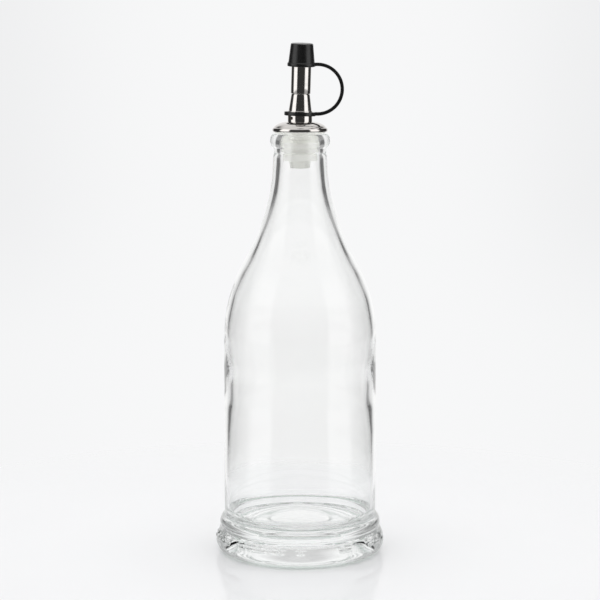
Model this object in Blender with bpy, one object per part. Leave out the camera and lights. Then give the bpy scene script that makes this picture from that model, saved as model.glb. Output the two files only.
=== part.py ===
# Oil dispenser bottle: clear glass, with a ribbed stopper, a steel pourer and a tethered rubber cap.
# Units are metres, +Z is up, and the origin is at the centre of the foot, on the surface it stands on.
# The camera of the reference view looks along +Y, with the cap's strap on the +X side.

import math

import bmesh
import bpy
from mathutils import Matrix, Vector

MM = 0.001
GAP = 0.3 * MM  # clearance left between two pieces that touch

# Glass bottle, outside, from the bearing ring up
BEARING_INNER = 33.6 * MM
BEARING_OUTER = 36.0 * MM
FOOT_RADIUS = 41.7 * MM
FOOT_WIDEST_Z = 5.9 * MM
WAIST_RADIUS = 38.9 * MM
WAIST_Z = 11.2 * MM
BEAD_RADIUS = 39.8 * MM
BEAD_Z = 14.6 * MM
BEAD_TOP_Z = 18.4 * MM
BODY_RADIUS = 37.5 * MM
BAND_RADIUS = 12.85 * MM
BAND_BOTTOM_Z = 196.8 * MM
BAND_TOP_Z = 200.4 * MM
LIP_RADIUS = 14.6 * MM
LIP_Z = 203.8 * MM
MOUTH_RADIUS = 13.0 * MM
GLASS_TOP_Z = 206.9 * MM
SHOULDER_OUTSIDE = (  # height and outer radius, body to neck, in millimetres
    (104, 37.5), (116, 36.95), (126, 35.1), (136, 31.7), (146, 26.6),
    (156, 21.5), (166, 17.95), (178, 14.85), (188, 13.5), (196.8, 13.1),
)

# Glass bottle, underside and inside, in millimetres
UNDERSIDE = (  # radius and height from the middle out: a shallow push-up with a step round its centre
    (0, 8.6), (13.4, 8.3), (14.4, 7.7), (15.4, 7.1), (23, 5.6), (28.2, 3.2), (30, 2),
)
FLOOR_AND_HEEL = (  # radius and height from the middle out: the floor falls to a groove inside the heel
    (0, 18.6), (6, 18.5), (15.5, 17.6), (24, 16), (30, 14.6),
    (31, 15.1), (32, 15.8), (33, 16.8), (33.8, 18), (34.6, 19.4), (35.2, 20.6),
)
INSIDE = (  # height and inner radius, heel to neck: the blown wall is thickest at mid height
    (21, 35.5), (36, 35.8), (60, 34.8), (76, 33.35), (98, 34.8), (108, 35.3), (115, 34.6),
    (126, 32.4), (138, 27.4), (148, 22.1), (160, 17.1), (172, 12.9), (182, 10.9), (192, 10),
)
BORE_RADIUS = 10.0 * MM

# Stopper, pressed into the neck
STOPPER_FLANGE_RADIUS = 12.2 * MM
STOPPER_FLANGE_TOP_Z = 209.4 * MM
STOPPER_CORE_RADIUS = 6.4 * MM
STOPPER_RIBS = (  # top height and radius, in millimetres
    (206.4, 9.6), (203.1, 9.6), (199.8, 9.3), (196.5, 8.7),
)
STOPPER_RIB_HEIGHT = 1.5 * MM
STOPPER_RIB_DRAFT = 0.2 * MM
STOPPER_STEP_RADIUS = 8.3 * MM
STOPPER_STEP_Z = 193.9 * MM
STOPPER_NOZZLE_RADIUS = 5.25 * MM
STOPPER_NOZZLE_TOP_Z = 193.5 * MM
STOPPER_TIP_RADIUS = 4.75 * MM
STOPPER_TIP_Z = 190.4 * MM
STOPPER_BORE_RADIUS = 3.7 * MM

# Steel pourer: skirt, collar and cone in one piece, with a stem inside the stopper
SKIRT_RADIUS = 13.5 * MM
SKIRT_BOTTOM_Z = 207.95 * MM
SKIRT_BAND_TOP_Z = 209.8 * MM
SKIRT_WALL = 0.9 * MM
DOME_TOP_Z = 212.8 * MM
COLLAR_RADIUS = 5.97 * MM
COLLAR_TOP_Z = 218.1 * MM
CONE_BOTTOM_RADIUS = 5.6 * MM
CONE_TOP_RADIUS = 4.5 * MM
CONE_TOP_Z = 226.2 * MM
SPIGOT_RADIUS = 4.05 * MM
SPIGOT_TOP_Z = 231.0 * MM
STEM_RADIUS = 3.4 * MM
STEM_BOTTOM_Z = 196.0 * MM
SPOUT_BORE_RADIUS = 2.3 * MM
VENT_RADIUS = 0.75 * MM
VENT_Z = 214.6 * MM
VENT_AZIMUTH_DEG = -42.0  # from the front towards -X

# Upper tube of the spout; everything above the collar leans a little towards +X and the front
TUBE_RADIUS = 4.82 * MM
TUBE_BORE_RADIUS = 4.38 * MM
TUBE_BOTTOM_Z = CONE_TOP_Z + GAP
TUBE_TOP_Z = 246.0 * MM
LEAN_RIGHT_DEG = 1.6
LEAN_FRONT_DEG = 4.0
LEAN_PIVOT_Z = 215.0 * MM

# Rubber cap with its strap and the ring round the collar, one moulding
CAP_TOP_Z = 250.6 * MM
CAP_TOP_RADIUS = 5.45 * MM
CAP_EDGE_ROUND = 0.5 * MM
CAP_FOOT_RADIUS = 6.35 * MM
CAP_FOOT_Z = 241.6 * MM
CAP_RIM_RADIUS = 6.85 * MM
CAP_BOTTOM_Z = 239.6 * MM
CAP_SOCKET_RADIUS = 5.15 * MM
CAP_SOCKET_TOP_Z = TUBE_TOP_Z + GAP
RING_Z = 216.6 * MM
RING_HEIGHT = 1.9 * MM
RING_INNER_RADIUS = 6.35 * MM
RING_OUTER_RADIUS = 7.65 * MM
RING_EDGE = 0.35 * MM
RING_TILT_DEG = 2.0
LOOP_CENTRE = (8.5 * MM, 228.5 * MM)  # x and z of the middle of the strap's half circle
LOOP_RADIUS = 11.95 * MM
STRAP_THICKNESS = 1.7 * MM
STRAP_WIDTH = 2.6 * MM
STRAP_CORNER = 0.4 * MM
LUG_WIDTH = 4.6 * MM

GLASS_SEGMENTS = 52
METAL_SEGMENTS = 32
SMALL_SEGMENTS = 28
STRAP_STEPS = 20


def clear_scene():
    for obj in list(bpy.data.objects):
        bpy.data.objects.remove(obj, do_unlink=True)


def material(name, colour, roughness, metallic=0.0, transmission=0.0):
    mat = bpy.data.materials.new(name)
    mat.use_nodes = True
    shader = mat.node_tree.nodes["Principled BSDF"]
    shader.inputs["Base Color"].default_value = (*colour, 1.0)
    shader.inputs["Roughness"].default_value = roughness
    shader.inputs["Metallic"].default_value = metallic
    shader.inputs["Transmission Weight"].default_value = transmission
    return mat


def arc(centre, radii, start_deg, end_deg, steps):
    """Points (r, z) on an ellipse's arc, both ends included; 0 degrees is outwards and 90 is up."""
    points = []
    for i in range(steps + 1):
        angle = math.radians(start_deg + (end_deg - start_deg) * i / steps)
        points.append((centre[0] + radii[0] * math.cos(angle), centre[1] + radii[1] * math.sin(angle)))
    return points


def in_metres(points):
    return [(first * MM, second * MM) for first, second in points]


def smooth_outline(stations, steps):
    """Points (r, z) on a smooth curve through stations of (z, r) in millimetres.

    Each stretch between two stations is cut into steps. The slopes are the harmonic means of the
    neighbouring chords', so the curve never overshoots a station.
    """
    chords = [(b[1] - a[1]) / (b[0] - a[0]) for a, b in zip(stations, stations[1:])]
    slopes = [chords[0]]
    for before, after in zip(chords, chords[1:]):
        slopes.append(2 * before * after / (before + after) if before * after > 0 else 0.0)
    slopes.append(chords[-1])
    points = []
    for i, ((z0, r0), (z1, r1)) in enumerate(zip(stations, stations[1:])):
        for k in range(steps):
            t = k / steps
            span = z1 - z0
            radius = (
                (2 * t**3 - 3 * t**2 + 1) * r0
                + (t**3 - 2 * t**2 + t) * span * slopes[i]
                + (3 * t**2 - 2 * t**3) * r1
                + (t**3 - t**2) * span * slopes[i + 1]
            )
            points.append((radius * MM, (z0 + span * t) * MM))
    points.append((stations[-1][1] * MM, stations[-1][0] * MM))
    return points


def lathe(name, outline, segments, mat, closed):
    """Turns an outline of (r, z) round the Z axis into one solid.

    A closed outline goes round a ring's section; an open one starts and ends on the axis.
    """
    bm = bmesh.new()
    verts = [bm.verts.new((radius, 0.0, z)) for radius, z in outline]
    edges = [bm.edges.new(pair) for pair in zip(verts, verts[1:])]
    if closed:
        edges.append(bm.edges.new((verts[-1], verts[0])))
    bmesh.ops.spin(
        bm, geom=verts + edges, cent=(0, 0, 0), axis=(0, 0, 1), angle=2 * math.pi,
        steps=segments, use_merge=True,
    )
    bmesh.ops.remove_doubles(bm, verts=bm.verts, dist=1e-6)
    bmesh.ops.recalc_face_normals(bm, faces=bm.faces)
    return finish_mesh(name, bm, mat)


def finish_mesh(name, bm, mat):
    mesh = bpy.data.meshes.new(name)
    bm.to_mesh(mesh)
    bm.free()
    mesh.materials.append(mat)
    mesh.shade_smooth()
    mesh.set_sharp_from_angle(angle=math.radians(35))
    obj = bpy.data.objects.new(name, mesh)
    bpy.context.scene.collection.objects.link(obj)
    return obj


def boolean(target, other, operation):
    """Joins or cuts target with other, which stays behind as a hidden guide."""
    modifier = target.modifiers.new(operation.lower() + "_" + other.name, "BOOLEAN")
    modifier.operation = operation
    modifier.solver = "EXACT"
    modifier.object = other
    other.hide_render = True
    other.display_type = "WIRE"


def lean_matrix():
    """Turns the spout about a point in the collar, a little to the right and to the front."""
    pivot = Matrix.Translation((0.0, 0.0, LEAN_PIVOT_Z))
    to_right = Matrix.Rotation(math.radians(LEAN_RIGHT_DEG), 4, "Y")
    to_front = Matrix.Rotation(math.radians(LEAN_FRONT_DEG), 4, "X")
    return pivot @ to_right @ to_front @ pivot.inverted()


def lean(obj, above_z):
    """Leans every point of a turned piece above a height, the way the spout stands."""
    turn = lean_matrix()
    for vert in obj.data.vertices:
        if vert.co.z > above_z:
            vert.co = turn @ vert.co


def glass_bottle(mat):
    underside = in_metres(UNDERSIDE) + [(BEARING_INNER, 0.0), (BEARING_OUTER, 0.0)]
    foot_depth = FOOT_RADIUS - BEARING_OUTER
    foot_lower = arc((BEARING_OUTER, FOOT_WIDEST_Z), (foot_depth, FOOT_WIDEST_Z), -72, 0, 4)
    foot_upper = arc(
        (WAIST_RADIUS, FOOT_WIDEST_Z), (FOOT_RADIUS - WAIST_RADIUS, WAIST_Z - FOOT_WIDEST_Z), 18, 72, 3
    )
    waist = [(WAIST_RADIUS, WAIST_Z)]
    bead_depth = BEAD_RADIUS - BODY_RADIUS
    bead = arc((BODY_RADIUS, BEAD_Z), (bead_depth, WAIST_Z - BEAD_Z), 40, 0, 2)
    bead += arc((BODY_RADIUS, BEAD_Z), (bead_depth, BEAD_TOP_Z - BEAD_Z), 22, 90, 4)
    body = [(BODY_RADIUS, 34 * MM), (BODY_RADIUS, 60 * MM), (BODY_RADIUS, 84 * MM)]
    shoulder = smooth_outline(SHOULDER_OUTSIDE, 2)
    band = [(BAND_RADIUS, BAND_BOTTOM_Z + 0.4 * MM), (BAND_RADIUS, BAND_TOP_Z)]
    lip_depth = LIP_RADIUS - MOUTH_RADIUS
    lip = arc((MOUTH_RADIUS, LIP_Z), (lip_depth, LIP_Z - BAND_TOP_Z), -70, 0, 3)
    lip += arc((MOUTH_RADIUS, LIP_Z), (lip_depth, GLASS_TOP_Z - LIP_Z), 30, 90, 2)
    mouth = [(BORE_RADIUS + 0.6 * MM, GLASS_TOP_Z), (BORE_RADIUS, GLASS_TOP_Z - 0.6 * MM)]
    inside = smooth_outline(INSIDE, 2)[::-1]
    floor = in_metres(FLOOR_AND_HEEL)[::-1]
    outline = underside + foot_lower + foot_upper + waist + bead + body + shoulder + band + lip
    outline += mouth + inside + floor
    return lathe("glass_bottle", outline, GLASS_SEGMENTS, mat, closed=False)


def stopper(mat):
    flange_bottom_z = GLASS_TOP_Z + GAP
    outline = [(STOPPER_BORE_RADIUS, STOPPER_FLANGE_TOP_Z)]
    outline += [(STOPPER_FLANGE_RADIUS, STOPPER_FLANGE_TOP_Z), (STOPPER_FLANGE_RADIUS, flange_bottom_z)]
    for i, (top_z, radius) in enumerate(in_metres(STOPPER_RIBS)):
        outline += [
            (STOPPER_CORE_RADIUS, top_z + 0.4 * MM if i else flange_bottom_z),
            (radius, top_z),
            (radius - STOPPER_RIB_DRAFT, top_z - STOPPER_RIB_HEIGHT),
        ]
    outline += [(STOPPER_STEP_RADIUS, STOPPER_STEP_Z), (STOPPER_NOZZLE_RADIUS, STOPPER_NOZZLE_TOP_Z)]
    outline += [(STOPPER_TIP_RADIUS, STOPPER_TIP_Z), (STOPPER_BORE_RADIUS, STOPPER_TIP_Z)]
    return lathe("stopper", outline, SMALL_SEGMENTS, mat, closed=True)


def pourer_base(mat):
    outline = [(SKIRT_RADIUS - SKIRT_WALL, SKIRT_BOTTOM_Z), (SKIRT_RADIUS, SKIRT_BOTTOM_Z)]
    outline += [(SKIRT_RADIUS, SKIRT_BAND_TOP_Z - 0.2 * MM)]
    outline += [(SKIRT_RADIUS - 0.25 * MM, SKIRT_BAND_TOP_Z)]
    dome_radius = SKIRT_RADIUS - COLLAR_RADIUS
    dome_height = DOME_TOP_Z - SKIRT_BOTTOM_Z
    outline += arc((COLLAR_RADIUS, SKIRT_BOTTOM_Z), (dome_radius, dome_height), 32, 87, 5)
    outline += [(COLLAR_RADIUS, DOME_TOP_Z), (COLLAR_RADIUS, COLLAR_TOP_Z - 0.2 * MM)]
    outline += [(COLLAR_RADIUS - 0.2 * MM, COLLAR_TOP_Z), (CONE_BOTTOM_RADIUS, COLLAR_TOP_Z + 0.1 * MM)]
    outline += [(CONE_TOP_RADIUS, CONE_TOP_Z), (SPIGOT_RADIUS, CONE_TOP_Z)]
    outline += [(SPIGOT_RADIUS, SPIGOT_TOP_Z), (SPOUT_BORE_RADIUS, SPIGOT_TOP_Z)]
    roof_z = STOPPER_FLANGE_TOP_Z + GAP
    outline += [(SPOUT_BORE_RADIUS, STEM_BOTTOM_Z), (STEM_RADIUS, STEM_BOTTOM_Z)]
    outline += [(STEM_RADIUS, roof_z), (SKIRT_RADIUS - SKIRT_WALL, roof_z)]
    base = lathe("pourer_base", outline, METAL_SEGMENTS, mat, closed=True)
    lean(base, COLLAR_TOP_Z - 0.05 * MM)
    boolean(base, vent_cutter(), "DIFFERENCE")
    return base


def vent_cutter():
    """A thin rod from inside the bore out through the collar's front left."""
    bm = bmesh.new()
    bmesh.ops.create_cone(
        bm, cap_ends=True, segments=12, radius1=VENT_RADIUS, radius2=VENT_RADIUS, depth=COLLAR_RADIUS
    )
    cutter = finish_mesh("vent_cutter", bm, material("cutter", (0.5, 0.5, 0.5), 0.5))
    azimuth = math.radians(VENT_AZIMUTH_DEG)
    outwards = Vector((math.sin(azimuth), -math.cos(azimuth), 0.0))
    middle = outwards * (SPOUT_BORE_RADIUS * 0.7 + COLLAR_RADIUS / 2) + Vector((0.0, 0.0, VENT_Z))
    aim = outwards.to_track_quat("Z", "Y").to_matrix().to_4x4()
    cutter.matrix_world = Matrix.Translation(middle) @ aim
    return cutter


def pourer_tube(mat):
    edge = 0.12 * MM
    outline = [(TUBE_BORE_RADIUS, TUBE_BOTTOM_Z), (TUBE_RADIUS - edge, TUBE_BOTTOM_Z)]
    outline += [(TUBE_RADIUS, TUBE_BOTTOM_Z + edge), (TUBE_RADIUS, TUBE_TOP_Z)]
    outline += [(TUBE_BORE_RADIUS, TUBE_TOP_Z)]
    tube = lathe("pourer_tube", outline, METAL_SEGMENTS, mat, closed=True)
    lean(tube, 0.0)
    return tube


def cap_body(mat):
    flat_radius = CAP_TOP_RADIUS - CAP_EDGE_ROUND
    edge_radii = (CAP_EDGE_ROUND, CAP_EDGE_ROUND)
    outline = [(0.0, CAP_TOP_Z), (flat_radius, CAP_TOP_Z)]
    outline += arc((flat_radius, CAP_TOP_Z - CAP_EDGE_ROUND), edge_radii, 60, 0, 2)
    outline += [(CAP_FOOT_RADIUS, CAP_FOOT_Z), (CAP_RIM_RADIUS, CAP_FOOT_Z - 0.5 * MM)]
    outline += [(CAP_RIM_RADIUS, CAP_BOTTOM_Z + 0.25 * MM), (CAP_RIM_RADIUS - 0.25 * MM, CAP_BOTTOM_Z)]
    outline += [(CAP_SOCKET_RADIUS, CAP_BOTTOM_Z), (CAP_SOCKET_RADIUS, CAP_SOCKET_TOP_Z)]
    outline += [(0.0, CAP_SOCKET_TOP_Z)]
    cap = lathe("cap_and_tether", outline, SMALL_SEGMENTS, mat, closed=False)
    lean(cap, 0.0)
    return cap


def tether_ring(mat):
    half = RING_HEIGHT / 2
    flat_radius = RING_OUTER_RADIUS - RING_EDGE
    outline = [(RING_INNER_RADIUS, -half), (flat_radius, -half)]
    outline += [(RING_OUTER_RADIUS, RING_EDGE - half), (RING_OUTER_RADIUS, half - RING_EDGE)]
    outline += [(flat_radius, half), (RING_INNER_RADIUS, half)]
    ring = lathe("tether_ring", outline, SMALL_SEGMENTS, mat, closed=True)
    tilt = Matrix.Rotation(math.radians(RING_TILT_DEG), 4, "Y")
    ring.matrix_world = Matrix.Translation((0.0, 0.0, RING_Z)) @ tilt
    return ring


def strap_path():
    """Centre points (x, z), tangents and widths of the strap, from the cap's rim round to the ring."""
    centre_x, centre_z = LOOP_CENTRE
    top_z = centre_z + LOOP_RADIUS
    spout_x = (lean_matrix() @ Vector((0.0, 0.0, top_z))).x
    start_x = spout_x + (CAP_SOCKET_RADIUS + CAP_RIM_RADIUS) / 2
    stations = [((start_x, top_z), (1.0, 0.0), LUG_WIDTH)]
    for i in range(STRAP_STEPS + 1):
        angle = math.pi / 2 - math.pi * i / STRAP_STEPS
        point = (centre_x + LOOP_RADIUS * math.cos(angle), centre_z + LOOP_RADIUS * math.sin(angle))
        tangent = (math.sin(angle), -math.cos(angle))
        ease = min(i, STRAP_STEPS - i) / 3.0
        width = STRAP_WIDTH + (LUG_WIDTH - STRAP_WIDTH) * max(0.0, 1.0 - ease) * 0.6
        stations.append((point, tangent, width))
    end_x = (RING_INNER_RADIUS + RING_OUTER_RADIUS) / 2
    stations.append(((end_x, centre_z - LOOP_RADIUS), (-1.0, 0.0), LUG_WIDTH))
    return stations


def tether_strap(mat):
    """A flat strap lofted through its sections, each an octagon across the path."""
    bm = bmesh.new()
    corner = STRAP_CORNER
    forward = -math.tan(math.radians(LEAN_FRONT_DEG))
    loops = []
    for (x, z), (tangent_x, tangent_z), width in strap_path():
        y = forward * (z - LEAN_PIVOT_Z)
        across = Vector((-tangent_z, 0.0, tangent_x))
        half_t = STRAP_THICKNESS / 2
        half_w = width / 2
        section = [
            (half_t, half_w - corner), (half_t - corner, half_w),
            (corner - half_t, half_w), (-half_t, half_w - corner),
            (-half_t, corner - half_w), (corner - half_t, -half_w),
            (half_t - corner, -half_w), (half_t, corner - half_w),
        ]
        ring = [bm.verts.new(Vector((x, y + w, z)) + across * t) for t, w in section]
        loops.append([bm.edges.new((a, b)) for a, b in zip(ring, ring[1:] + ring[:1])])
    for before, after in zip(loops, loops[1:]):
        bmesh.ops.bridge_loops(bm, edges=before + after)
    bmesh.ops.holes_fill(bm, edges=loops[0] + loops[-1], sides=8)
    bmesh.ops.recalc_face_normals(bm, faces=bm.faces)
    return finish_mesh("tether_strap", bm, mat)


def cap_and_tether(mat):
    cap = cap_body(mat)
    boolean(cap, tether_strap(mat), "UNION")
    boolean(cap, tether_ring(mat), "UNION")
    return cap


def main():
    clear_scene()
    glass = material("clear_glass", (0.97, 0.985, 0.975), 0.02, transmission=1.0)
    plastic = material("clouded_plastic", (0.88, 0.89, 0.86), 0.35, transmission=0.5)
    steel = material("polished_steel", (0.62, 0.60, 0.58), 0.12, metallic=1.0)
    rubber = material("black_rubber", (0.02, 0.02, 0.02), 0.5)
    glass_bottle(glass)
    stopper(plastic)
    pourer_base(steel)
    pourer_tube(steel)
    cap_and_tether(rubber)


main()
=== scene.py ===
import math

import bmesh
import bpy
from mathutils import Matrix, Vector, noise


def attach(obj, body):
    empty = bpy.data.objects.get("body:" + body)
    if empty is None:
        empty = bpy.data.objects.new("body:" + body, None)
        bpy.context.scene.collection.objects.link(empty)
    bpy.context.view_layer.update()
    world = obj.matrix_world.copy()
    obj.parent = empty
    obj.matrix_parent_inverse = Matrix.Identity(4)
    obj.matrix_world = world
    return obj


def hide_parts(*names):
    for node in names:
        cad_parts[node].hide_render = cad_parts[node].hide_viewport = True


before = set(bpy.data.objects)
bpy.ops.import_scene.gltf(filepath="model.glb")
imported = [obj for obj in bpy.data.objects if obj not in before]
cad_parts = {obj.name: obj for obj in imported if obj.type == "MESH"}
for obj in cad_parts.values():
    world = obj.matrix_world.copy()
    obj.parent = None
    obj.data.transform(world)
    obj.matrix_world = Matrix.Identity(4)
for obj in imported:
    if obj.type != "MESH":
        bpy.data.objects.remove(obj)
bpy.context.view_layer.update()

MM = 0.001

# Sizes in millimetres, mostly those of the solids
SHARP_DEG = 42  # edges sharper than this stay sharp

# Lean of the spout
LEAN_RIGHT_DEG = 1.6
LEAN_FRONT_DEG = 4.0
LEAN_PIVOT_Z = 215.0

# Glass bottle, outside
BEARING_RADIUS = 35.4
FOOT_RADIUS = 41.7
FOOT_WIDEST_Z = 5.9
WAIST_RADIUS = 38.9
WAIST_Z = 11.2
BEAD_RADIUS = 39.8
BEAD_Z = 14.6
BEAD_TOP_Z = 18.4
BODY_RADIUS = 37.5
BODY_BOTTOM_Z = 19.6
BODY_TOP_Z = 103.0
SHOULDER_OUTSIDE = (  # height and radius, body to neck
    (104, BODY_RADIUS), (116, 36.95), (126, 35.1), (136, 31.7), (146, 26.6),
    (156, 21.5), (166, 17.95), (178, 14.85), (188, 13.5), (196.8, 13.1),
)
NECK_BAND = ((12.95, 197.0), (12.85, 197.4), (12.85, 198.8), (12.85, 200.0))  # radius and height
LIP_BOTTOM_Z = 200.4
LIP_RADIUS = 14.6
LIP_MIDDLE_RADIUS = 13.0
LIP_Z = 203.8
GLASS_TOP_Z = 206.9
GLASS_SEGMENTS = 288

# Glass bottle, underside and inside
UNDERSIDE = (  # radius and height from the middle out: a shallow push-up with a step round its centre
    (0.0, 8.6), (7.0, 8.55), (13.4, 8.3), (14.0, 8.15), (14.4, 7.7), (14.8, 7.25), (15.4, 7.1),
    (19.0, 6.6), (23.0, 5.6), (26.0, 4.4), (28.2, 3.2), (29.6, 2.2), (30.0, 2.0),
)
PUSH_UP_ROUND_CENTRE = (31.6, 2.0)
PUSH_UP_ROUND_RADII = (2.0, 2.0)
BEARING_ROUND_CENTRE = (34.2, 0.5)
BEARING_ROUND_RADII = (0.6, 0.5)
FLOOR_AND_HEEL = (  # radius and height from the middle out: the floor falls to a groove inside the heel
    (0.0, 18.6), (6.0, 18.5), (11.0, 18.1), (15.5, 17.6), (20.0, 16.9), (24.0, 16.0), (27.0, 15.3),
    (30.0, 14.6), (31.0, 15.1), (32.0, 15.8), (33.0, 16.8), (33.8, 18.0), (34.6, 19.4), (35.2, 20.6),
)
INSIDE = (  # height and inner radius, heel to neck: the wall is thickest at two thirds of the body
    (21, 35.5), (36, 35.8), (45, 35.5), (60, 34.8), (69, 33.9), (76, 33.35), (86, 33.7), (98, 34.8),
    (108, 35.3), (115, 34.6), (126, 32.4), (138, 27.4), (148, 22.1), (160, 17.1), (172, 12.9), (182, 10.9),
    (192, 10.0),
)
INSIDE_FROM_Z = 13.0  # between the push-up and the lowest spot of the floor
LEAST_WALL = 0.9
BORE_RADIUS = 10.0
MOUTH_ROUND = 0.9

# Stopper
STOPPER_BORE_RADIUS = 3.7
STOPPER_FLANGE_RADIUS = 12.2
STOPPER_FLANGE_TOP_Z = 209.4
STOPPER_FLANGE_BOTTOM_Z = 207.25
STOPPER_CORE_RADIUS = 6.4
STOPPER_RIBS = ((206.4, 9.6), (203.1, 9.6), (199.8, 9.3), (196.5, 8.7))  # top height and radius
STOPPER_RIB_HEIGHT = 1.5
STOPPER_RIB_DRAFT = 0.2
STOPPER_RIB_FALL = 0.4  # from a rib's root to its rim
STOPPER_END = ((8.3, 193.9), (5.25, 193.5), (4.75, 190.4))  # radius and height: step, nozzle and tip
STOPPER_SEGMENTS = 96

# Steel pourer
SKIRT_RADIUS = 13.5
SKIRT_INNER_RADIUS = 12.6
SKIRT_BOTTOM_Z = 207.95
SKIRT_EDGE = (  # radius and height, up the outside of its rolled edge
    (13.2, 207.95), (13.42, 208.2), (13.5, 208.6), (13.5, 208.9), (13.42, 209.3), (13.25, 209.7),
)
DOME_TOP_Z = 212.8
COLLAR_RADIUS = 5.97
COLLAR_TOP_Z = 218.1
CONE_BOTTOM_RADIUS = 5.6
CONE_TOP_RADIUS = 4.5
CONE_TOP_Z = 226.2
SPIGOT_RADIUS = 4.05
SPIGOT_TOP_Z = 231.0
SPOUT_BORE_RADIUS = 2.3
STEM_RADIUS = 3.4
STEM_BOTTOM_Z = 196.0
SKIRT_ROOF_Z = 209.7
VENT_RADIUS = 0.75
VENT_Z = 214.6
VENT_AZIMUTH_DEG = -42.0  # from the front towards -X
VENT_LENGTH = 6.0
VENT_MIDDLE_RADIUS = 4.6
TUBE_RADIUS = 4.82
TUBE_BORE_RADIUS = 4.38
TUBE_BOTTOM_Z = 226.5
TUBE_TOP_Z = 246.0
TUBE_EDGE = 0.12
TURNED_SEGMENTS = 120

# Rubber cap, strap and ring
CAP_TOP_Z = 250.6
CAP_TOP_RADII = (0.0, 2.5, 4.6)
CAP_EDGE_CENTRE_RADIUS = 4.85
CAP_EDGE_ROUND = 0.6
CAP_SIDE = (  # radius and height, down the outside from the foot of the cone
    (6.35, 241.65), (6.45, 241.4), (6.78, 241.15), (6.85, 240.95), (6.85, 239.9), (6.78, 239.7),
    (6.6, 239.6),
)
CAP_SOCKET_RADIUS = 5.15
CAP_SOCKET_TOP_Z = 246.3
RING_Z = 216.6
RING_HALF_HEIGHT = 0.95
RING_INNER_RADIUS = 6.35
RING_OUTER_RADIUS = 7.65
RING_TILT_DEG = 2.0
LOOP_X = 8.5
LOOP_Z = 228.5
LOOP_RADIUS = 11.95
STRAP_HALF_THICKNESS = 0.85
STRAP_WIDTH = 2.6
LUG_WIDTH = 4.6
LUG_START = 6.0  # from the cap's axis
LUG_EASE = 9.0  # steps over which the strap widens towards a lug
STRAP_STEPS = 60


# Geometry helpers, all in millimetres until the mesh is made

def arc(centre, radii, start_deg, end_deg, steps):
    """Points (r, z) of an ellipse's arc."""
    points = []
    for i in range(steps + 1):
        angle = math.radians(start_deg + (end_deg - start_deg) * i / steps)
        points.append((centre[0] + radii[0] * math.cos(angle), centre[1] + radii[1] * math.sin(angle)))
    return points


def smooth_outline(stations, steps):
    """Points (r, z) of a smooth curve through stations of (z, r) that never overshoots them."""
    chords = [(b[1] - a[1]) / (b[0] - a[0]) for a, b in zip(stations, stations[1:])]
    slopes = [chords[0]]
    for before, after in zip(chords, chords[1:]):
        slopes.append(2 * before * after / (before + after) if before * after > 0 else 0.0)
    slopes.append(chords[-1])
    points = []
    for i, ((z0, r0), (z1, r1)) in enumerate(zip(stations, stations[1:])):
        for k in range(steps):
            t = k / steps
            span = z1 - z0
            radius = (
                (2 * t**3 - 3 * t**2 + 1) * r0
                + (t**3 - 2 * t**2 + t) * span * slopes[i]
                + (3 * t**2 - 2 * t**3) * r1
                + (t**3 - t**2) * span * slopes[i + 1]
            )
            points.append((radius, z0 + span * t))
    points.append((stations[-1][1], stations[-1][0]))
    return points


def dense(points, step):
    """The same outline with its long straight stretches cut to at most step."""
    out = []
    for (r0, z0), (r1, z1) in zip(points, points[1:]):
        n = max(1, math.ceil(math.hypot(r1 - r0, z1 - z0) / step))
        out += [(r0 + (r1 - r0) * k / n, z0 + (z1 - z0) * k / n) for k in range(n)]
    return out + [points[-1]]


def rounded(points, radius, steps=3):
    """The closed outline with every corner rounded."""
    out = []
    n = len(points)
    for i, point in enumerate(points):
        before = Vector(points[i - 1]) - Vector(point)
        after = Vector(points[(i + 1) % n]) - Vector(point)
        reach = min(radius, before.length * 0.45, after.length * 0.45)
        a = Vector(point) + before.normalized() * reach
        b = Vector(point) + after.normalized() * reach
        for k in range(steps + 1):
            t = k / steps
            spot = a * (1 - t) ** 2 + Vector(point) * (2 * t * (1 - t)) + b * t * t
            out.append((spot.x, spot.y))
    return out


def turned(name, outline, segments, closed, move=None):
    """Turns an outline of (r, z) round Z; move(spot, r, z, angle) may shift its points."""
    verts = []
    faces = []
    rings = []
    for r, z in outline:
        if r < 1e-6:
            rings.append([len(verts)])
            verts.append(Vector((0.0, 0.0, z)))
            continue
        ring = []
        for s in range(segments):
            angle = 2 * math.pi * s / segments
            spot = Vector((r * math.sin(angle), -r * math.cos(angle), z))
            if move:
                spot = move(spot, r, z, angle)
            ring.append(len(verts))
            verts.append(spot)
        rings.append(ring)
    pairs = list(zip(rings, rings[1:]))
    if closed:
        pairs.append((rings[-1], rings[0]))
    for low, high in pairs:
        for s in range(segments):
            t = (s + 1) % segments
            if len(low) == 1:
                faces.append((low[0], high[t], high[s]))
            elif len(high) == 1:
                faces.append((low[s], low[t], high[0]))
            else:
                faces.append((low[s], low[t], high[t], high[s]))
    mesh = bpy.data.meshes.new(name)
    mesh.from_pydata([v * MM for v in verts], [], faces)
    return placed(name, mesh)


def placed(name, mesh):
    """The mesh as an object in the scene, smooth but for its sharp edges."""
    mesh.validate()
    bm = bmesh.new()
    bm.from_mesh(mesh)
    bmesh.ops.recalc_face_normals(bm, faces=bm.faces)
    bm.to_mesh(mesh)
    bm.free()
    mesh.shade_smooth()
    mesh.set_sharp_from_angle(angle=math.radians(SHARP_DEG))
    obj = bpy.data.objects.new(name, mesh)
    bpy.context.scene.collection.objects.link(obj)
    return obj


def lean_matrix():
    pivot = Matrix.Translation((0.0, 0.0, LEAN_PIVOT_Z))
    to_right = Matrix.Rotation(math.radians(LEAN_RIGHT_DEG), 4, "Y")
    to_front = Matrix.Rotation(math.radians(LEAN_FRONT_DEG), 4, "X")
    return pivot @ to_right @ to_front @ pivot.inverted()


LEAN = lean_matrix()


def leaning(spot, r, z, angle):
    return LEAN @ spot if z > COLLAR_TOP_Z - 0.05 else spot


# Glass bottle

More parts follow.
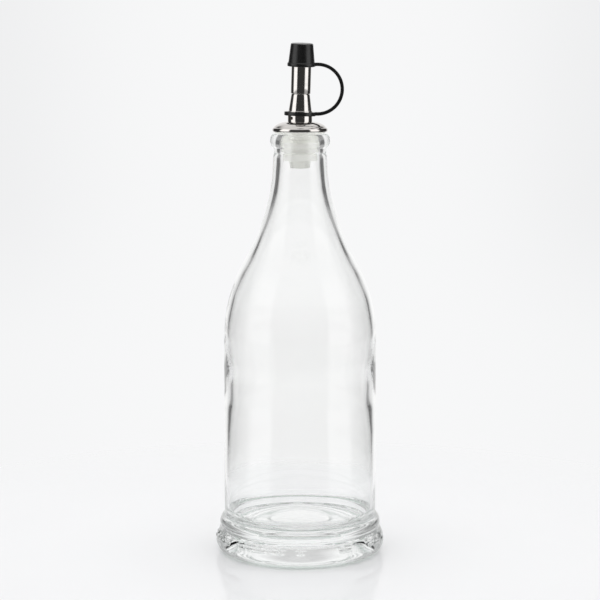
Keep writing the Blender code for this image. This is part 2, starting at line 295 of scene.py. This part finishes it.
FOOT_SLOPE = (6.4, 11.0, 38.8)  # lowest and highest Z, and least radius
BEARING_EDGE = (0.05, 1.9, 35.9, 40.6)  # lowest and highest Z, least and greatest radius
TICK_DEPTH = 0.38
INSIDE_WAVE = 0.16
INSIDE_RIPPLE = 0.05
INSIDE_WAVE_RATE = (0.022, 0.022, 0.03)
INSIDE_RIPPLE_RATE = 3.1
INSIDE_WAVES_Z = ((38, 28), (178, 24))  # where the waves start and end, and over what length they ease
OUTSIDE_WAVE = 0.03
OUTSIDE_WAVE_RATE = (0.03, 0.03, 0.02)
OUTSIDE_WAVE_OFFSET = (0, 0, 7)
OUTSIDE_WAVES_Z = ((30, 20), (186, 20))
DASH_HEIGHT = 0.42
DASH_ROWS = ((10.15, 0.55), (8.2, 0.55))  # Z of each row of dashes, and half of its height
DASHES = (  # first row and second row: start and end angles in degrees, 0 to the front, right positive
    ((-47, -43), (-41, -33), (-31, -28), (-25, -18), (-15, -11), (-2, 3), (27, 31), (33, 38),
     (52, 60), (64, 68), (74, 84), (-62, -55), (-76, -66), (-90, -80), (100, 112), (118, 123), (130, 141),
     (160, 172), (178, 186), (196, 209), (-108, -100), (-128, -116), (-140, -134)),
    ((-45, -40), (-38, -35), (-32, -25), (-22, -19), (-16, -12), (-1, 2), (28, 36),
     (54, 58), (62, 70), (76, 80), (-60, -57), (-72, -64), (-88, -84), (102, 108), (114, 124), (132, 138),
     (162, 168), (176, 188), (200, 206), (-110, -102), (-124, -118), (-142, -136)),
)


def soft_step(distance, width):
    """1 well before distance 0, 0 well after it."""
    t = max(0.0, min(1.0, 0.5 - distance / width))
    return t * t * (3 - 2 * t)


def dash_height(angle, z):
    """How far a dash stands out of the foot's slope at this spot, in millimetres."""
    degrees = (math.degrees(angle) + 180) % 360 - 180
    height = 0.0
    for (row_z, half), spans in zip(DASH_ROWS, DASHES):
        across = soft_step(abs(z - row_z) - half, 0.5)
        if across <= 0.0:
            continue
        for start, end in spans:
            middle = (start + end) / 2
            off = abs((degrees - middle + 180) % 360 - 180)
            height = max(height, across * soft_step(off - (end - start) / 2, 1.6))
    return DASH_HEIGHT * height


def wave_share(z, limits):
    """How strong the glass's waves are at this height: full between the limits, none outside them."""
    (start, start_length), (end, end_length) = limits
    return soft_step(z - end, end_length) * soft_step(start - z, start_length)


def wave_place(spot, z, rate, offset=(0, 0, 0)):
    return Vector([value * pace + more for value, pace, more in zip((spot.x, spot.y, z), rate, offset)])


def glass_shape(spot, r, z, angle):
    """Waves of pressed and blown glass, the foot's dashes and the ticks round its bearing edge."""
    outward = Vector((math.sin(angle), -math.cos(angle), 0.0))
    shift = 0.0
    slope_low, slope_high, slope_reach = FOOT_SLOPE
    edge_low, edge_high, edge_inner, edge_outer = BEARING_EDGE
    if slope_low < z < slope_high and r > slope_reach:
        shift += dash_height(angle, z)
    if edge_low < z < edge_high and edge_inner < r < edge_outer:
        tick = round(angle / (2 * math.pi) * GLASS_SEGMENTS) % 3 == 0
        fade = min(1.0, z / 0.5, (edge_high - z) / 0.8)
        shift -= 0.0 if tick else TICK_DEPTH * max(0.0, fade)
    if is_inside(r, z):
        place = wave_place(spot, z, INSIDE_WAVE_RATE)
        wave = INSIDE_WAVE * noise.noise(place) + INSIDE_RIPPLE * noise.noise(place * INSIDE_RIPPLE_RATE)
        shift += wave_share(z, INSIDE_WAVES_Z) * wave
    else:
        place = wave_place(spot, z, OUTSIDE_WAVE_RATE, OUTSIDE_WAVE_OFFSET)
        wave = -OUTSIDE_WAVE + OUTSIDE_WAVE * noise.noise(place)
        shift += wave_share(z, OUTSIDE_WAVES_Z) * wave
    return spot + outward * shift


def outer_radius(z):
    if z <= SHOULDER_OUTSIDE[0][0]:
        return BODY_RADIUS
    for (z0, r0), (z1, r1) in zip(SHOULDER_OUTSIDE, SHOULDER_OUTSIDE[1:]):
        if z <= z1:
            return r0 + (r1 - r0) * (z - z0) / (z1 - z0)
    return SHOULDER_OUTSIDE[-1][1]


def is_inside(r, z):
    return z > INSIDE_FROM_Z and r < outer_radius(z) - LEAST_WALL


def glass_bottle():
    underside = list(UNDERSIDE)
    underside += arc(PUSH_UP_ROUND_CENTRE, PUSH_UP_ROUND_RADII, 300, 282, 2)
    underside += arc(BEARING_ROUND_CENTRE, BEARING_ROUND_RADII, 235, 270, 3)
    underside += [(BEARING_RADIUS, 0.0)]
    lower_radii = (FOOT_RADIUS - BEARING_RADIUS, FOOT_WIDEST_Z)
    foot = arc((BEARING_RADIUS, FOOT_WIDEST_Z), lower_radii, -84, 0, 18)
    upper_radii = (FOOT_RADIUS - WAIST_RADIUS, WAIST_Z - FOOT_WIDEST_Z)
    foot += arc((WAIST_RADIUS, FOOT_WIDEST_Z), upper_radii, 5, 86, 22)
    bead_depth = BEAD_RADIUS - BODY_RADIUS
    bead = arc((BODY_RADIUS, BEAD_Z), (bead_depth, BEAD_Z - WAIST_Z), -55, 0, 7)
    bead += arc((BODY_RADIUS, BEAD_Z), (bead_depth, BEAD_TOP_Z - BEAD_Z), 10, 88, 9)
    body = dense([(BODY_RADIUS, BODY_BOTTOM_Z), (BODY_RADIUS, BODY_TOP_Z)], 4.0)
    shoulder = smooth_outline(SHOULDER_OUTSIDE, 5)
    lip_depth = LIP_RADIUS - LIP_MIDDLE_RADIUS
    lip = arc((LIP_MIDDLE_RADIUS, LIP_Z), (lip_depth, LIP_Z - LIP_BOTTOM_Z), -80, 0, 8)
    lip += arc((LIP_MIDDLE_RADIUS, LIP_Z), (lip_depth, GLASS_TOP_Z - LIP_Z), 10, 88, 8)
    mouth_middle = (BORE_RADIUS + MOUTH_ROUND, GLASS_TOP_Z - MOUTH_ROUND)
    mouth = arc(mouth_middle, (MOUTH_ROUND, MOUTH_ROUND), 90, 180, 5)
    inside = smooth_outline(INSIDE, 6)[::-1] + list(FLOOR_AND_HEEL[::-1])
    outline = underside + foot + bead + body + shoulder + list(NECK_BAND) + lip + mouth + inside
    return turned("glass_bottle_fine", outline, GLASS_SEGMENTS, closed=False, move=glass_shape)


# Stopper, pourer and tube

def stopper():
    outline = [(STOPPER_BORE_RADIUS, STOPPER_FLANGE_TOP_Z), (STOPPER_FLANGE_RADIUS, STOPPER_FLANGE_TOP_Z)]
    outline += [(STOPPER_FLANGE_RADIUS, STOPPER_FLANGE_BOTTOM_Z)]
    for i, (top, reach) in enumerate(STOPPER_RIBS):
        outline += [
            (STOPPER_CORE_RADIUS, top + STOPPER_RIB_FALL if i else STOPPER_FLANGE_BOTTOM_Z),
            (reach, top),
            (reach - STOPPER_RIB_DRAFT, top - STOPPER_RIB_HEIGHT),
        ]
    outline += list(STOPPER_END) + [(STOPPER_BORE_RADIUS, STOPPER_END[-1][1])]
    return turned("stopper_fine", dense(rounded(outline, 0.3), 1.5), STOPPER_SEGMENTS, closed=True)


def pourer_base():
    outline = [(SKIRT_INNER_RADIUS, SKIRT_BOTTOM_Z)] + list(SKIRT_EDGE)
    dome_radii = (SKIRT_RADIUS - COLLAR_RADIUS, DOME_TOP_Z - SKIRT_BOTTOM_Z)
    outline += arc((COLLAR_RADIUS, SKIRT_BOTTOM_Z), dome_radii, 26, 84, 14)
    outline += [(COLLAR_RADIUS, DOME_TOP_Z), (COLLAR_RADIUS, COLLAR_TOP_Z - 0.2)]
    outline += [(COLLAR_RADIUS - 0.2, COLLAR_TOP_Z), (CONE_BOTTOM_RADIUS, COLLAR_TOP_Z + 0.1)]
    outline += [(CONE_TOP_RADIUS, CONE_TOP_Z), (SPIGOT_RADIUS, CONE_TOP_Z), (SPIGOT_RADIUS, SPIGOT_TOP_Z)]
    outline += [(SPOUT_BORE_RADIUS, SPIGOT_TOP_Z), (SPOUT_BORE_RADIUS, STEM_BOTTOM_Z)]
    outline += [(STEM_RADIUS, STEM_BOTTOM_Z), (STEM_RADIUS, SKIRT_ROOF_Z), (SKIRT_INNER_RADIUS, SKIRT_ROOF_Z)]
    fine = dense(rounded(outline, 0.09, 2), 2.0)
    base = turned("pourer_base_fine", fine, TURNED_SEGMENTS, closed=True, move=leaning)
    cut(base, vent_tool())
    return base


def vent_tool():
    """A thin rod that reaches out through the collar's front left."""
    bm = bmesh.new()
    radius = VENT_RADIUS * MM
    length = VENT_LENGTH * MM
    bmesh.ops.create_cone(bm, cap_ends=True, segments=40, radius1=radius, radius2=radius, depth=length)
    mesh = bpy.data.meshes.new("vent_tool")
    bm.to_mesh(mesh)
    bm.free()
    tool = bpy.data.objects.new("vent_tool", mesh)
    bpy.context.scene.collection.objects.link(tool)
    azimuth = math.radians(VENT_AZIMUTH_DEG)
    outwards = Vector((math.sin(azimuth), -math.cos(azimuth), 0.0))
    middle = outwards * (VENT_MIDDLE_RADIUS * MM) + Vector((0.0, 0.0, VENT_Z * MM))
    tool.matrix_world = Matrix.Translation(middle) @ outwards.to_track_quat("Z", "Y").to_matrix().to_4x4()
    return tool


def cut(obj, tool):
    """Cuts the tool's shape out of the piece for good and removes the tool."""
    modifier = obj.modifiers.new("vent", "BOOLEAN")
    modifier.operation = "DIFFERENCE"
    modifier.solver = "EXACT"
    modifier.object = tool
    bpy.context.view_layer.update()
    mesh = bpy.data.meshes.new_from_object(obj.evaluated_get(bpy.context.evaluated_depsgraph_get()))
    obj.modifiers.clear()
    obj.data = mesh
    bpy.data.objects.remove(tool, do_unlink=True)
    mesh.shade_smooth()
    mesh.set_sharp_from_angle(angle=math.radians(SHARP_DEG))


def pourer_tube():
    outline = [(TUBE_BORE_RADIUS, TUBE_BOTTOM_Z), (TUBE_RADIUS - TUBE_EDGE, TUBE_BOTTOM_Z)]
    outline += [(TUBE_RADIUS, TUBE_BOTTOM_Z + TUBE_EDGE), (TUBE_RADIUS, TUBE_TOP_Z)]
    outline += [(TUBE_BORE_RADIUS, TUBE_TOP_Z)]
    fine = dense(rounded(outline, 0.05, 2), 3.0)
    return turned("pourer_tube_fine", fine, TURNED_SEGMENTS, closed=True, move=leaning)


# Cap, strap and ring: three meshes of the one moulding

def cap_parts():
    outline = [(r, CAP_TOP_Z) for r in CAP_TOP_RADII]
    edge_centre = (CAP_EDGE_CENTRE_RADIUS, CAP_TOP_Z - CAP_EDGE_ROUND)
    outline += arc(edge_centre, (CAP_EDGE_ROUND, CAP_EDGE_ROUND), 80, 5, 6)
    outline += list(CAP_SIDE)
    outline += [(CAP_SOCKET_RADIUS, CAP_SIDE[-1][1]), (CAP_SOCKET_RADIUS, CAP_SOCKET_TOP_Z)]
    outline += [(0.0, CAP_SOCKET_TOP_Z)]
    cap = turned("cap_and_tether_fine", dense(outline, 1.2), TURNED_SEGMENTS, closed=False, move=leaning)
    section = [(RING_INNER_RADIUS, -RING_HALF_HEIGHT), (RING_OUTER_RADIUS, -RING_HALF_HEIGHT)]
    section += [(RING_OUTER_RADIUS, RING_HALF_HEIGHT), (RING_INNER_RADIUS, RING_HALF_HEIGHT)]
    tilt = Matrix.Translation((0.0, 0.0, RING_Z)) @ Matrix.Rotation(math.radians(RING_TILT_DEG), 4, "Y")

    def tilted(spot, r, z, angle):
        return tilt @ spot

    ring = turned("tether_ring", rounded(section, 0.35, 4), TURNED_SEGMENTS, closed=True, move=tilted)
    return cap, strap(), ring


def strap():
    """Flat strap lofted along its half circle, with a wider lug at each end."""
    top_x = (LEAN @ Vector((0.0, 0.0, LOOP_Z + LOOP_RADIUS))).x
    stations = [((top_x + LUG_START, LOOP_Z + LOOP_RADIUS), (1.0, 0.0), LUG_WIDTH)]
    for i in range(STRAP_STEPS + 1):
        angle = math.pi / 2 - math.pi * i / STRAP_STEPS
        widening = max(0.0, 1.0 - min(i, STRAP_STEPS - i) / LUG_EASE)
        width = STRAP_WIDTH + (LUG_WIDTH - STRAP_WIDTH) * widening * 0.6
        spot = (LOOP_X + LOOP_RADIUS * math.cos(angle), LOOP_Z + LOOP_RADIUS * math.sin(angle))
        stations.append((spot, (math.sin(angle), -math.cos(angle)), width))
    end_x = (RING_INNER_RADIUS + RING_OUTER_RADIUS) / 2
    stations.append(((end_x, LOOP_Z - LOOP_RADIUS), (-1.0, 0.0), LUG_WIDTH))
    rings = []
    for (x, z), (tx, tz), width in stations:
        y = -math.tan(math.radians(LEAN_FRONT_DEG)) * (z - LEAN_PIVOT_Z)
        across = Vector((-tz, 0.0, tx))
        corners = [(STRAP_HALF_THICKNESS, width / 2), (-STRAP_HALF_THICKNESS, width / 2)]
        corners += [(-STRAP_HALF_THICKNESS, -width / 2), (STRAP_HALF_THICKNESS, -width / 2)]
        rings.append([Vector((x, y + w, z)) + across * t for t, w in rounded(corners, 0.5, 4)])
    count = len(rings[0])
    faces = []
    for i in range(len(rings) - 1):
        for k in range(count):
            n = (k + 1) % count
            faces.append((i * count + k, i * count + n, (i + 1) * count + n, (i + 1) * count + k))
    faces.append(tuple(range(count)))
    faces.append(tuple(range((len(rings) - 1) * count, len(rings) * count)))
    mesh = bpy.data.meshes.new("tether_strap")
    mesh.from_pydata([v * MM for ring in rings for v in ring], [], faces)
    return placed("tether_strap", mesh)


# Materials

WHITE = (1.0, 1.0, 1.0)
EVEN = (1, 1, 1)
GLASS_TONES = ((0.992, 0.998, 0.995), WHITE)
GLASS_IOR = 1.5
GLASS_GREEN = (0.77, 0.89, 0.82)
GLASS_GREEN_Z = (0.0003, 0.0024)  # metres; green at the first, clear from the second
GLASS_DEPTH_COLOUR = (0.52, 0.80, 0.66, 1.0)
GLASS_DEPTH_DENSITY = 0.35
PLASTIC_TONES = ((0.93, 0.935, 0.925), (0.97, 0.975, 0.965))
PLASTIC_REACH = (0.0037, 0.0085)  # metres from the axis: the painted shade and the painted glow are darkest up to the first and brightest from the second
# painted shade: the stopper darker by its axis, where the dark stem would show through
PLASTIC_PAINTED_SHADE = ((0.84, 0.84, 0.82), (1.0, 1.0, 0.985))
# painted glow: the stopper gives off light, more at its rim, in place of light passing through it; its
# colours and strength
PLASTIC_PAINTED_GLOW = ((0.76, 0.76, 0.73), (1.0, 1.0, 0.97))
PLASTIC_PAINTED_GLOW_STRENGTH = 0.13
STEEL_TONES = ((0.645, 0.62, 0.60), (0.72, 0.695, 0.67))
RUBBER_TONES = ((0.004, 0.004, 0.004), (0.009, 0.009, 0.009))


def new_material(name):
    mat = bpy.data.materials.new(name)
    mat.use_nodes = True
    return mat, mat.node_tree, mat.node_tree.nodes["Principled BSDF"]


def set_inputs(tree, node, inputs):
    """Links each input to a socket or sets it to a value."""
    for key, value in dict(inputs).items():
        if isinstance(value, bpy.types.NodeSocket):
            tree.links.new(value, node.inputs[key])
        else:
            node.inputs[key].default_value = value


def add(tree, kind, inputs=(), **settings):
    node = tree.nodes.new(kind)
    for key, value in settings.items():
        setattr(node, key, value)
    set_inputs(tree, node, inputs)
    return node


def grain(tree, scale, size, detail=3.0, rough=0.5):
    coords = add(tree, "ShaderNodeTexCoord").outputs["Object"]
    place = add(tree, "ShaderNodeMapping", {"Vector": coords, "Scale": scale}).outputs["Vector"]
    inputs = {"Vector": place, "Scale": size, "Detail": detail, "Roughness": rough}
    return add(tree, "ShaderNodeTexNoise", inputs).outputs["Fac"]


def ease(tree, value, first, last, low=0.0, high=1.0, shape="SMOOTHSTEP"):
    inputs = {"Value": value, "From Min": first, "From Max": last, "To Min": low, "To Max": high}
    return add(tree, "ShaderNodeMapRange", inputs, interpolation_type=shape).outputs["Result"]


def spread(tree, value, low, high):
    """Stretches a grain's middle tones over low to high."""
    return ease(tree, value, 0.3, 0.7, low, high, "LINEAR")


def ramp(tree, value, stops):
    node = add(tree, "ShaderNodeValToRGB", {"Fac": value})
    elements = node.color_ramp.elements
    while len(elements) > 1:
        elements.remove(elements[-1])
    elements[0].position = stops[0][0]
    elements[0].color = (*stops[0][1], 1.0)
    for position, colour in stops[1:]:
        elements.new(position).color = (*colour, 1.0)
    return node.outputs["Color"]


def mottled(tree, size, tones, scale=EVEN):
    """Two tones in a soft grain."""
    return ramp(tree, grain(tree, scale, size), ((0.3, tones[0]), (0.7, tones[1])))


def blend(tree, factor, first, second, how="MIX"):
    inputs = {"Factor": factor}
    for key, value in ((6, first), (7, second)):
        inputs[key] = value if isinstance(value, bpy.types.NodeSocket) else (*value, 1.0)
    return add(tree, "ShaderNodeMix", inputs, data_type="RGBA", blend_type=how).outputs[2]


def calculate(tree, operation, *values, clamp=False):
    node = add(tree, "ShaderNodeMath", dict(enumerate(values)), operation=operation, use_clamp=clamp)
    return node.outputs["Value"]


def length(tree, vector):
    return add(tree, "ShaderNodeVectorMath", {0: vector}, operation="LENGTH").outputs["Value"]


def bump(tree, height, strength, distance):
    inputs = {"Height": height, "Strength": strength, "Distance": distance}
    return add(tree, "ShaderNodeBump", inputs).outputs["Normal"]


def glass_material():
    """Clear, with a green cast in the depth of the glass and under the bearing edge."""
    mat, tree, shader = new_material("clear_glass_look")
    coords = add(tree, "ShaderNodeTexCoord").outputs["Object"]
    z = add(tree, "ShaderNodeSeparateXYZ", {"Vector": coords}).outputs["Z"]
    height = ease(tree, z, *GLASS_GREEN_Z, shape="LINEAR")
    green = ramp(tree, height, ((0.0, GLASS_GREEN), (1.0, WHITE)))
    set_inputs(tree, shader, {
        "Transmission Weight": 1.0,
        "IOR": GLASS_IOR,
        "Roughness": 0.0,
        "Base Color": blend(tree, 1.0, mottled(tree, 30.0, GLASS_TONES), green, "MULTIPLY"),
        "Normal": bump(tree, grain(tree, (1.0, 1.0, 0.35), 60.0, 2.0), 0.25, 0.0002),
    })
    inputs = {"Color": GLASS_DEPTH_COLOUR, "Density": GLASS_DEPTH_DENSITY}
    depth = add(tree, "ShaderNodeVolumeAbsorption", inputs).outputs["Volume"]
    tree.links.new(depth, tree.nodes["Material Output"].inputs["Volume"])
    return mat


def plastic_material():
    """Clouded, with painted shade in its middle where the dark stem would show through, and a painted glow
    that is brightest at its rim.
    """
    mat, tree, shader = new_material("clouded_plastic_look")
    coords = add(tree, "ShaderNodeTexCoord").outputs["Object"]
    flat = add(tree, "ShaderNodeVectorMath", {0: coords, 1: (1.0, 1.0, 0.0)}, operation="MULTIPLY")
    reach = length(tree, flat.outputs["Vector"])
    # painted shade, darker towards the axis where the stem would show through
    shade = ramp(tree, reach, tuple(zip(PLASTIC_REACH, PLASTIC_PAINTED_SHADE)))
    set_inputs(tree, shader, {
        "Base Color": blend(tree, 1.0, mottled(tree, 400.0, PLASTIC_TONES), shade, "MULTIPLY"),
        # painted glow, brightest at the rim
        "Emission Color": ramp(tree, reach, tuple(zip(PLASTIC_REACH, PLASTIC_PAINTED_GLOW))),
        "Emission Strength": PLASTIC_PAINTED_GLOW_STRENGTH,
        "Transmission Weight": 0.6,
        "IOR": 1.15,
        "Roughness": spread(tree, grain(tree, EVEN, 900.0), 0.3, 0.4),
        "Normal": bump(tree, grain(tree, EVEN, 1500.0), 0.2, 0.0001),
    })
    return mat


def steel_material():
    """Polished, with fine turning lines."""
    mat, tree, shader = new_material("polished_steel_look")
    lines = grain(tree, (1, 1, 60), 60.0, 4.0)
    set_inputs(tree, shader, {
        "Metallic": 1.0,
        "Base Color": mottled(tree, 120.0, STEEL_TONES, scale=(1, 1, 8)),
        "Roughness": spread(tree, lines, 0.06, 0.14),
        "Normal": bump(tree, lines, 0.08, 0.00005),
    })
    return mat


def rubber_material():
    mat, tree, shader = new_material("black_rubber_look")
    set_inputs(tree, shader, {
        "Base Color": mottled(tree, 300.0, RUBBER_TONES),
        "Roughness": spread(tree, grain(tree, EVEN, 700.0), 0.26, 0.36),
        "Normal": bump(tree, grain(tree, EVEN, 2500.0), 0.15, 0.00005),
    })
    return mat


# Studio: a round pale table, a lit sky that differs by direction, and the camera

TABLE_RADIUS = 0.31
TABLE_Z = -0.0001
TABLE_TONES = ((0.915, 0.918, 0.92), (0.925, 0.928, 0.93))
TABLE_PAINTED_LIGHT = ((0.06, 1.07), (0.10, 1.05), (0.16, 1.01), (0.24, 0.985))  # metres from the axis, and painted light: brighter by the bottle
TABLE_PAINTED_GLOW = ((0.032, 0.34), (0.037, 0.12), (0.041, 0.02), (0.08, 0.0))  # painted glow under the foot, where light through the glass would gather
TABLE_FADE = (0.19, 0.305)  # metres from the axis, where the table fades into the backdrop

CAMERA_PLACE = (0.0, -0.9455, 0.2512)
CAMERA_DOWN_DEG = 7.5787
CAMERA_LENS = 116.4
CAMERA_SENSOR = 36.0
CAMERA_NEAREST = 0.05
LIGHT_BOUNCES = 48

# Light: soft is for rough mirrorings, sharp for clear ones and for rays through the glass
BACKDROP = (  # degrees aside from the view into the picture, and brightness; the panels below too
    (0, 0.98), (18, 0.98), (24, 0.94), (28, 0.88), (31, 0.80), (34, 0.68), (37, 0.42), (40, 0.15), (45, 0.03),
)
LEFT_PANEL = ((84, 0.0), (94, 1.0), (131, 1.0), (136, 0.0))
RIGHT_PANEL = ((88, 0.0), (96, 1.0), (133, 1.0), (137, 0.0))
PANEL_SOFT = 1.5
PANEL_SHARP = 0.75
LEAST_SOFT = 0.045
BEHIND_DEG = (62, 75)
BEHIND_STRAIGHT = 0.95
OVERHEAD_SOFT = 0.9
OVERHEAD_THROUGH = 0.66
OVERHEAD_MIRRORED = 0.15
ROOM_LIGHT = (1.01, 1.01, 1.02)
PLAIN_MIDDLE = (0.932, 0.935, 0.94)
PLAIN_SIDES = (0.865, 0.868, 0.875)

# Over the Z of a ray's direction: start, end, and the values there
SLANT = (-0.36, 0.0, -0.073, 0.082)
PANEL_FALL = (-0.15, -0.205, 1.0, 0.35)
LEAST_BELOW = (-0.1, -0.2, 0.13, 0.32)
LEAST_ABOVE = (0.06, 0.2, 0.13, 0.42)
OVERHEAD = (0.5, 0.8, 0.0, 1.0)
PLAIN_RISE = (-0.17, -0.07, 0.25, 1.0)


def grey(value):
    return (value, value, value)


def table():
    bm = bmesh.new()
    bmesh.ops.create_circle(bm, cap_ends=True, segments=128, radius=TABLE_RADIUS)
    mesh = bpy.data.meshes.new("table_top")
    bm.to_mesh(mesh)
    bm.free()
    obj = bpy.data.objects.new("table_top", mesh)
    obj.location = (0.0, 0.0, TABLE_Z)
    bpy.context.scene.collection.objects.link(obj)
    mesh.materials.append(table_material())


def table_material():
    """Pale, with painted light a little brighter by the bottle and a painted glow under its foot, fading out
    at the table's edge.
    """
    mat, tree, shader = new_material("pale_table")
    coords = add(tree, "ShaderNodeTexCoord").outputs["Object"]
    reach = length(tree, coords)
    # painted light: the table brighter by the bottle, against its shadow
    painted_light = ramp(tree, reach, [(r, grey(v)) for r, v in TABLE_PAINTED_LIGHT])
    set_inputs(tree, shader, {
        "Base Color": blend(tree, 1.0, mottled(tree, 9.0, TABLE_TONES), painted_light, "MULTIPLY"),
        "Roughness": 0.12,
        "Specular IOR Level": 0.2,
        # painted glow under the foot
        "Emission Color": ramp(tree, reach, [(r, grey(v)) for r, v in TABLE_PAINTED_GLOW]),
        "Emission Strength": 1.0,
        "Alpha": ease(tree, reach, *TABLE_FADE, 1.0, 0.0),
    })
    return mat


def sky():
    """Pale for the camera; light that meets the bottle comes from a backdrop, two panels and overhead."""
    world = bpy.data.worlds.new("studio")
    bpy.context.scene.world = world
    world.use_nodes = True
    world.cycles.sampling_method = "NONE"
    tree = world.node_tree
    way = add(tree, "ShaderNodeTexCoord").outputs["Generated"]
    x, y, z = add(tree, "ShaderNodeSeparateXYZ", {"Vector": way}).outputs
    path = add(tree, "ShaderNodeLightPath").outputs
    colour = overhead(tree, z, path, behind(tree, x, y, path, around(tree, x, y, z, path)))
    soft = calculate(tree, "GREATER_THAN", path["Diffuse Depth"], 0.5)
    colour = blend(tree, soft, colour, ROOM_LIGHT)
    colour = blend(tree, path["Is Camera Ray"], colour, plain(tree, x, y, z))
    tree.links.new(colour, tree.nodes["Background"].inputs["Color"])


def around(tree, x, y, z, path):
    """Backdrop, dark gaps and two panels round the bottle, never darker than the least light."""
    turn = calculate(tree, "ARCTAN2", x, y)
    beside = calculate(tree, "ABSOLUTE", turn)
    opened = calculate(tree, "ADD", beside, ease(tree, z, *SLANT, "LINEAR"))
    opened = calculate(tree, "MULTIPLY", opened, 1.0 / math.pi)
    gap = ramp(tree, opened, [(d / 180, grey(v)) for d, v in BACKDROP])
    share = ease(tree, turn, -math.pi, math.pi, shape="LINEAR")
    stops = [(0.5 - d / 360, grey(v)) for d, v in reversed(LEFT_PANEL)]
    stops += [(0.5 + d / 360, grey(v)) for d, v in RIGHT_PANEL]
    lit = blend(tree, path["Is Singular Ray"], grey(PANEL_SOFT), grey(PANEL_SHARP))
    lit = calculate(tree, "MULTIPLY", lit, ease(tree, z, *PANEL_FALL))
    colour = blend(tree, ramp(tree, share, stops), gap, lit)
    least = calculate(tree, "MAXIMUM", ease(tree, z, *LEAST_BELOW), ease(tree, z, *LEAST_ABOVE))
    least = calculate(tree, "MULTIPLY", least, path["Is Transmission Ray"])
    least = blend(tree, path["Is Singular Ray"], grey(LEAST_SOFT), least)
    return calculate(tree, "MAXIMUM", colour, least)


def behind(tree, x, y, path, colour):
    """Rays that the glass bends but doesn't mirror find plain light at the sides and in front."""
    beside = calculate(tree, "ABSOLUTE", calculate(tree, "ARCTAN2", x, y))
    aside = ease(tree, beside, *[math.radians(d) for d in BEHIND_DEG])
    mirrorings = calculate(tree, "SUBTRACT", path["Ray Depth"], path["Transmission Depth"])
    straight = calculate(tree, "LESS_THAN", mirrorings, 1.5)
    through = blend(tree, calculate(tree, "MULTIPLY", aside, straight), colour, grey(BEHIND_STRAIGHT))
    return blend(tree, path["Is Transmission Ray"], colour, through)


def overhead(tree, z, path, colour):
    """Light from above, dim where the bottle's outside mirrors it."""
    outside = calculate(tree, "SUBTRACT", path["Is Singular Ray"], path["Is Transmission Ray"], clamp=True)
    light = blend(tree, path["Is Transmission Ray"], grey(OVERHEAD_SOFT), grey(OVERHEAD_THROUGH))
    light = blend(tree, outside, light, grey(OVERHEAD_MIRRORED))
    return blend(tree, ease(tree, z, *OVERHEAD), colour, light)


def plain(tree, x, y, z):
    """The camera's background, a shade darker towards its upper sides."""
    sides = ease(tree, calculate(tree, "MULTIPLY", x, x), 0.0, 0.026)
    sides = calculate(tree, "MULTIPLY", sides, ease(tree, z, *PLAIN_RISE))
    sides = calculate(tree, "MULTIPLY", sides, ease(tree, y, 0.7, 0.9))
    return blend(tree, sides, PLAIN_MIDDLE, PLAIN_SIDES)


def camera():
    data = bpy.data.cameras.new("camera")
    data.lens = CAMERA_LENS
    data.sensor_width = CAMERA_SENSOR
    data.clip_start = CAMERA_NEAREST
    obj = bpy.data.objects.new("camera", data)
    obj.location = CAMERA_PLACE
    obj.rotation_euler = (math.radians(90.0 - CAMERA_DOWN_DEG), 0.0, 0.0)
    bpy.context.scene.collection.objects.link(obj)
    bpy.context.scene.camera = obj


def main():
    glass = glass_material()
    plastic = plastic_material()
    steel = steel_material()
    rubber = rubber_material()
    pieces = (
        (glass_bottle(), glass, "glass_bottle", "clear_glass"),
        (stopper(), plastic, "stopper", "clouded_plastic"),
        (pourer_base(), steel, "pourer_base", "polished_steel"),
        (pourer_tube(), steel, "pourer_tube", "polished_steel"),
    ) + tuple((obj, rubber, "cap_and_tether", "black_rubber") for obj in cap_parts())
    for obj, mat, node, slot in pieces:
        obj.data.materials.clear()
        obj.data.materials.append(mat)
        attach(obj, "root")
        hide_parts(node)
    table()
    sky()
    camera()
    scene = bpy.context.scene
    scene.view_settings.view_transform = "Standard"
    scene.cycles.max_bounces = LIGHT_BOUNCES
    scene.cycles.transmission_bounces = LIGHT_BOUNCES
    scene.cycles.glossy_bounces = LIGHT_BOUNCES


main()
